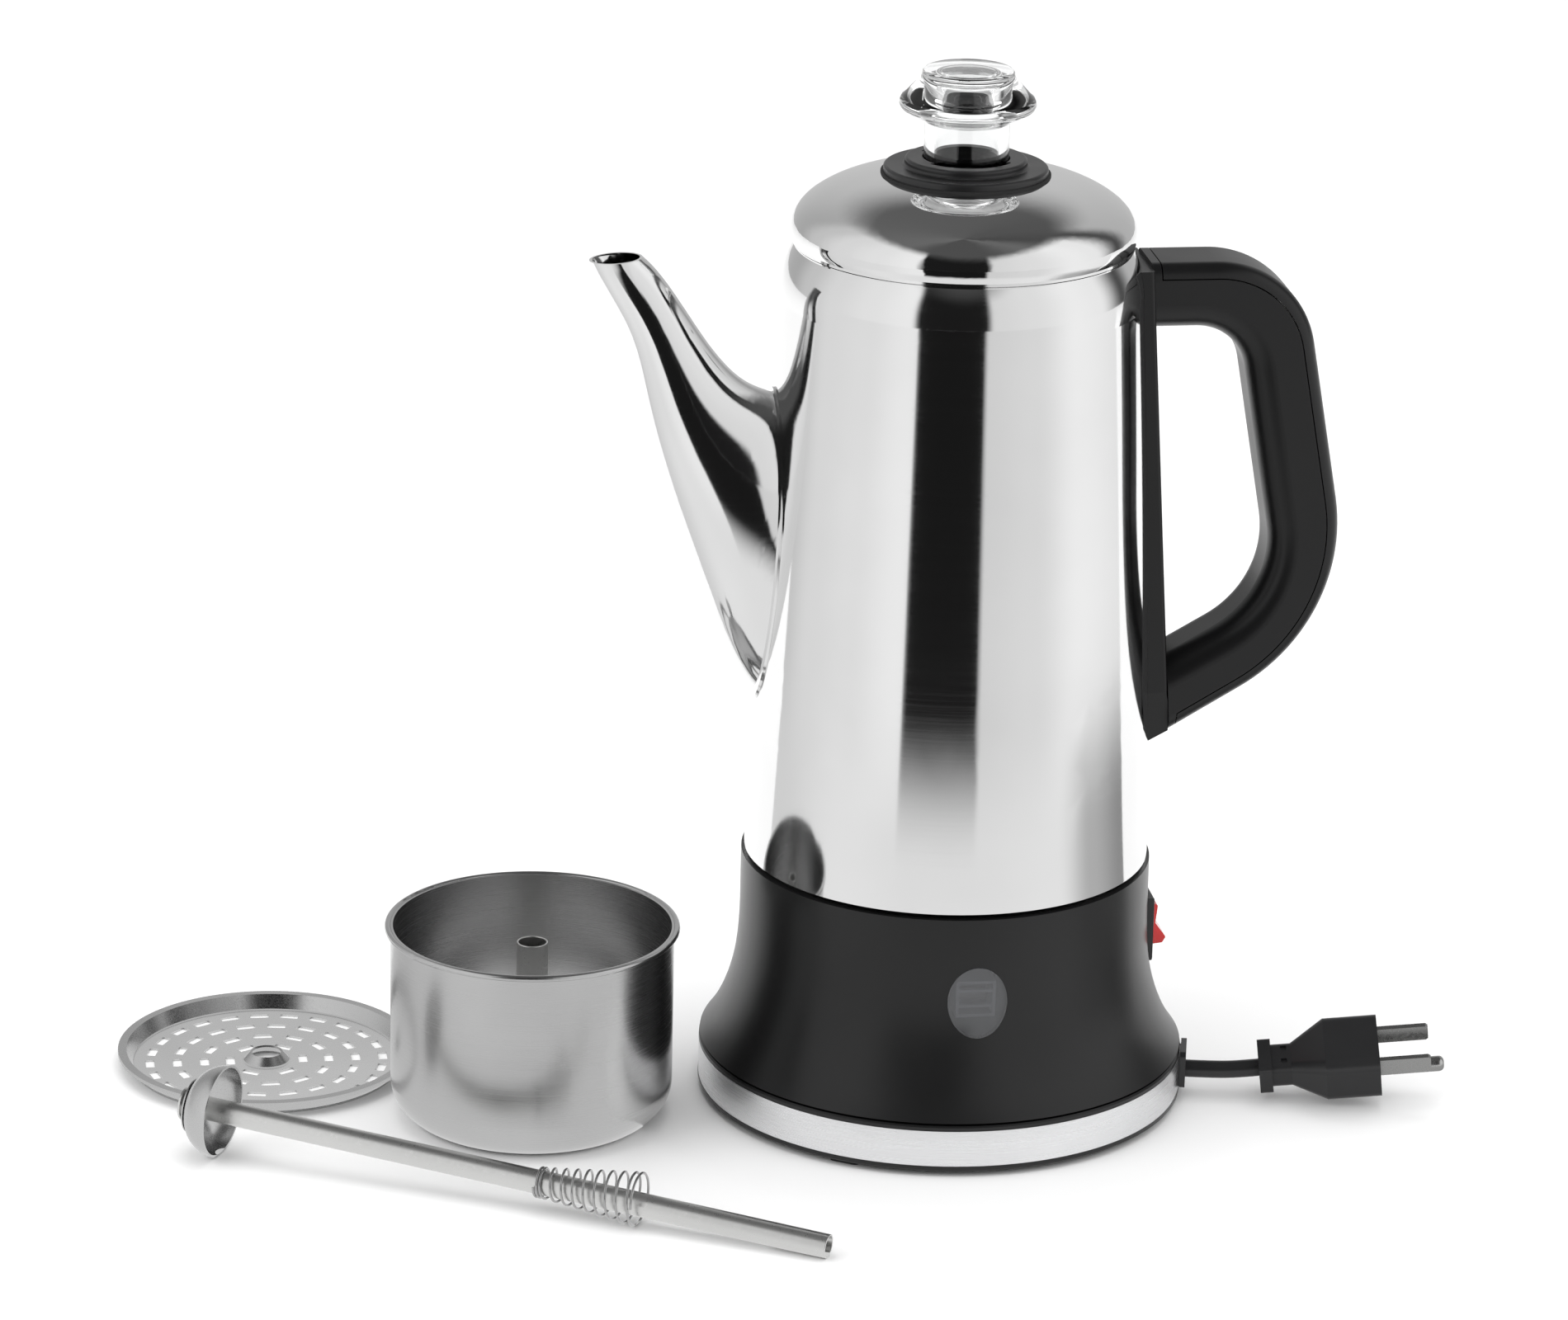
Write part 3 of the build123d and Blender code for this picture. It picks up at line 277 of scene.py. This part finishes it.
LOOKS = {
    "base_tray": skirt_black, "base_deck": skirt_black, "trim_band": trim, "base_feet": rubber,
    "base_screws": zinc, "base_connector": skirt_black, "base_contacts": brass, "base_leads": lead_cover,
    "cord_outlet": cord_black, "plug_body": cord_black, "plug_blades": blade, "plug_ground": blade,
    "pot_body": polished, "spout": polished, "spout_band": polished, "skirt": skirt_black,
    "skirt_seal": rubber, "indicator_lens": smoke.material, "lamp_housing": grey_plastic,
    "neon_lamp": lamp.material, "bottom_cover": skirt_black, "bottom_screws": zinc,
    "bottom_posts": skirt_black, "pot_socket": skirt_black, "socket_contacts": brass,
    "heater_plate": cast, "heating_element": sheath, "thermostat": grey_plastic, "thermal_fuse": zinc,
    "pot_leads": lead_cover, "switch_bezel": washer_black, "switch_body": skirt_black, "rocker_pin": zinc,
    "handle_bosses": zinc, "handle_screws": zinc, "handle_strip": handle_black,
    "handle_grip": handle_black, "handle_cover": handle_black, "lid_shell": mirror, "lid_ring": polished,
    "lid_gasket": rubber, "lid_washer": washer_black, "knob": clear.material, "rocker": red.material,
    "basket_shell": satin, "basket_tube": tube, "spreader": sheet, "pump_bowl": sheet,
    "pump_tube": tube, "valve_disc": sheet, "spring": wire,
}
for name, look in LOOKS.items():
    for slot in nodes[name].material_slots:
        slot.material = look
curve.materials.append(cord_black)


# ---------------------------------------------------------------- studio
to_camera = Vector((-math.sin(HEADING), -math.cos(HEADING), 0))
to_right = Vector((math.cos(HEADING), -math.sin(HEADING), 0))


def studio(along, side, height):
    """Point given by its distance towards the camera, to the camera's right and up, from the pot's axis."""
    return AXIS + to_camera * along + to_right * side + Vector((0, 0, height))


def stage_mesh(name, points, faces, material, seen):
    """Mesh of the studio; unless seen, it is a painted reflection that lights no diffuse surface, casts no
    shadow, and only shows in reflections and through glass.
    """
    mesh = bpy.data.meshes.new(name)
    mesh.from_pydata([tuple(p) for p in points], [], faces)
    made = bpy.data.objects.new(name, mesh)
    scene.collection.objects.link(made)
    mesh.materials.append(material)
    made.visible_camera = seen
    made.visible_diffuse = seen
    made.visible_shadow = seen
    made.visible_transmission = True
    return made


floor_look = Surface("floor", Roughness=0.6, Specular_IOR_Level=0.1)
cloud = floor_look.noise(floor_look.place(), 3.0)
floor_look.feed(floor_look.tint(cloud, (0.86, 0.86, 0.86), (0.88, 0.88, 0.88)), "Base Color")
FLOOR_HALF = 12.0
floor_corners = [(a * FLOOR_HALF, b * FLOOR_HALF, 0) for a, b in ((-1, -1), (1, -1), (1, 1), (-1, 1))]
stage_mesh("floor", floor_corners, [(0, 1, 2, 3)], floor_look.material, True)


def ramp_node(tree, stops):
    """Smooth ramp from (place, brightness) stops."""
    made = tree.nodes.new("ShaderNodeValToRGB")
    made.color_ramp.interpolation = "EASE"
    elements = made.color_ramp.elements
    while len(elements) < len(stops):
        elements.new(0.5)
    for element, (place, value) in zip(elements, stops):
        element.position = place
        element.color = (value, value, value, 1.0)
    return made


def painted_reflection_look(name, wall, other, blend, overhead):
    """Emission for painted reflections, ramped by bearing from the camera's side in degrees, blended from
    wall to other.

    The blend is an oval round the zenith for the dome, and goes by reach for the apron, which paints the
    floor's reflection.
    """
    made = bpy.data.materials.new(name)
    made.use_nodes = True
    tree = made.node_tree
    tree.nodes.remove(tree.nodes["Principled BSDF"])
    link = tree.links.new
    coords = tree.nodes.new("ShaderNodeTexCoord")
    split = tree.nodes.new("ShaderNodeSeparateXYZ")
    turn = tree.nodes.new("ShaderNodeVectorRotate")
    turn.rotation_type = "Z_AXIS"
    turn.inputs["Center"].default_value = (AXIS.x, AXIS.y, 0)
    turn.inputs["Angle"].default_value = HEADING
    shift = tree.nodes.new("ShaderNodeVectorMath")
    shift.inputs[1].default_value = (-AXIS.x, -AXIS.y, 0)
    link(coords.outputs["Object"], turn.inputs["Vector"])
    link(turn.outputs["Vector"], shift.inputs[0])
    link(shift.outputs["Vector"], split.inputs["Vector"])

    def maths(operation, first, second=None):
        node = tree.nodes.new("ShaderNodeMath")
        node.operation = operation
        for socket, value in zip(node.inputs, (first, second)):
            if isinstance(value, (int, float)):
                socket.default_value = value
            elif value is not None:
                link(value, socket)
        return node.outputs["Value"]

    def length(first, second):
        squares = maths("MULTIPLY", first, first), maths("MULTIPLY", second, second)
        return maths("SQRT", maths("ADD", *squares))

    x, y = split.outputs["X"], split.outputs["Y"]
    bearing = maths("ARCTAN2", x, maths("MULTIPLY", y, -1.0))
    around = maths("ADD", maths("DIVIDE", bearing, 2 * math.pi), 0.5)
    if overhead:
        oval = length(maths("DIVIDE", x, OVAL[0]), maths("DIVIDE", y, OVAL[1]))
        place = maths("MULTIPLY", oval, OVAL_PLACE)
    else:
        place = maths("DIVIDE", length(x, y), DOME)
    mixer = tree.nodes.new("ShaderNodeMix")
    mixer.data_type = "RGBA"
    mixing = ramp_node(tree, blend)
    link(place, mixing.inputs["Fac"])
    link(mixing.outputs["Color"], mixer.inputs["Factor"])
    for socket, stops in (("A", wall), ("B", other)):
        by_bearing = ramp_node(tree, [((degrees + 180) / 360, value) for degrees, value in stops])
        link(around, by_bearing.inputs["Fac"])
        link(by_bearing.outputs["Color"], mixer.inputs[socket])
    glow = tree.nodes.new("ShaderNodeEmission")
    link(mixer.outputs["Result"], glow.inputs["Color"])
    glow.inputs["Strength"].default_value = 1.0
    link(glow.outputs["Emission"], tree.nodes["Material Output"].inputs["Surface"])
    return made


# The surround and the apron are glowing sheets that paint the studio's reflections in the steel and what
# shows through glass.
# Radius of the surround, half width and half depth of its dim ceiling, and that oval's place on the blend.
DOME = 2.6
OVAL, OVAL_PLACE = (0.54 * DOME, 0.78 * DOME), 0.5
# Brightness of the painted reflections by bearing in degrees from the camera's side, positive to its right.
# Walls: a near-black painted band on the camera's side, a dark painted dip near 118 degrees, bright painted
# bands to either side.
WALL = [
    (-180, 0.6), (-135, 0.45), (-115, 0.62), (-90, 0.8), (-60, 0.9), (-32, 1.0), (-27, 0.012),
    (14, 0.012), (19, 0.8), (45, 0.86), (75, 1.0), (95, 0.95), (118, 0.08), (135, 0.5), (180, 0.6),
]
# Ceiling: dim painted reflection overhead.
CEILING = [
    (-180, 0.12), (-60, 0.16), (-27, 0.09), (14, 0.09), (60, 0.16), (100, 0.08), (140, 0.1),
    (180, 0.12),
]
CEILING_BLEND = [(0, 1.0), (0.40, 1.0), (0.58, 0.0), (1, 0.0)]
# Far apron: painted reflection of the floor, with the same near-black painted band on the camera's side.
APRON_FAR_REFLECTION = [
    (-180, 0.6), (-135, 0.45), (-115, 0.62), (-90, 0.8), (-60, 0.85), (-32, 0.97), (-27.5, 0.97),
    (-26.5, 0.010), (13.5, 0.010), (14.5, 0.74), (45, 0.8), (75, 1.0), (120, 0.9), (150, 0.6),
    (180, 0.6),
]
# Near apron: painted reflection of the floor, darker from 82 to 135 degrees to the camera's right.
APRON_NEAR_REFLECTION = [
    (-180, 0.55), (-140, 0.5), (-105, 0.75), (-60, 0.9), (-20, 0.86), (10, 0.86), (60, 0.92),
    (82, 0.5), (110, 0.3), (135, 0.6), (180, 0.55),
]
FLOOR_BLEND = [(0, 0.0), (0.135, 0.0), (0.225, 1.0), (1, 1.0)]

RINGS, SEGMENTS = 12, 48
DOME_FOOT, APRON_Z = 0.002, 0.001
dome_points, dome_faces = [], []
for ring in range(RINGS + 1):
    height = math.radians(90 * ring / RINGS)
    for step in range(SEGMENTS):
        turned = 2 * math.pi * step / SEGMENTS
        out = DOME * math.cos(height)
        rise = DOME_FOOT + DOME * math.sin(height)
        dome_points.append(studio(out * math.cos(turned), out * math.sin(turned), rise))
for ring in range(RINGS):
    for step in range(SEGMENTS):
        following = (step + 1) % SEGMENTS
        low, high = ring * SEGMENTS, (ring + 1) * SEGMENTS
        dome_faces.append((low + step, low + following, high + following, high + step))
# The dome paints the reflections of walls and ceiling; it is seen only in reflections and through glass.
dome_reflection_look = painted_reflection_look("surround", WALL, CEILING, CEILING_BLEND, True)
stage_mesh("surround", dome_points, dome_faces, dome_reflection_look, False)

# The apron paints the floor's reflection in the steel, from close round the pot out to the dome; it is seen
# only in reflections and through glass.
NEAR, HALF_SWEEP = 0.10, 110
apron_steps = SEGMENTS * 2
apron_points, apron_faces = [], []
for step in range(apron_steps + 1):
    bearing = math.radians(-HALF_SWEEP + 2 * HALF_SWEEP * step / apron_steps)
    for reach in (NEAR, DOME):
        apron_points.append(studio(reach * math.cos(bearing), reach * math.sin(bearing), APRON_Z))
for step in range(apron_steps):
    apron_faces.append((2 * step, 2 * step + 1, 2 * step + 3, 2 * step + 2))
apron_reflection_look = painted_reflection_look("apron", APRON_NEAR_REFLECTION, APRON_FAR_REFLECTION, FLOOR_BLEND, False)
stage_mesh("apron", apron_points, apron_faces, apron_reflection_look, False)


def softbox(name, place, aim, width, height, power):
    """Area light at a studio place, aimed at another; the surround stands for it in reflections."""
    data = bpy.data.lights.new(name, "AREA")
    data.shape = "RECTANGLE"
    data.size, data.size_y = width, height
    data.energy = power
    light = bpy.data.objects.new(name, data)
    scene.collection.objects.link(light)
    light.visible_glossy = False
    light.location = place
    light.rotation_mode = "QUATERNION"
    light.rotation_quaternion = (place - aim).to_track_quat("Z", "Y")
    return light


centre = studio(0, 0, 0.15)
softbox("key_left", studio(0.9, -1.7, 1.3), centre, 1.4, 1.6, 12.0)
softbox("fill_right", studio(0.7, 1.8, 1.1), centre, 1.2, 1.6, 10.0)
softbox("top", studio(-0.2, 0, 2.2), centre, 1.8, 1.8, 16.0)

world = bpy.data.worlds.new("studio")
world.use_nodes = True
background = world.node_tree.nodes["Background"]
background.inputs["Color"].default_value = (1.0, 1.0, 1.0, 1.0)
background.inputs["Strength"].default_value = 1.0
scene.world = world
scene.view_settings.view_transform = "Standard"

bpy.context.view_layer.update()
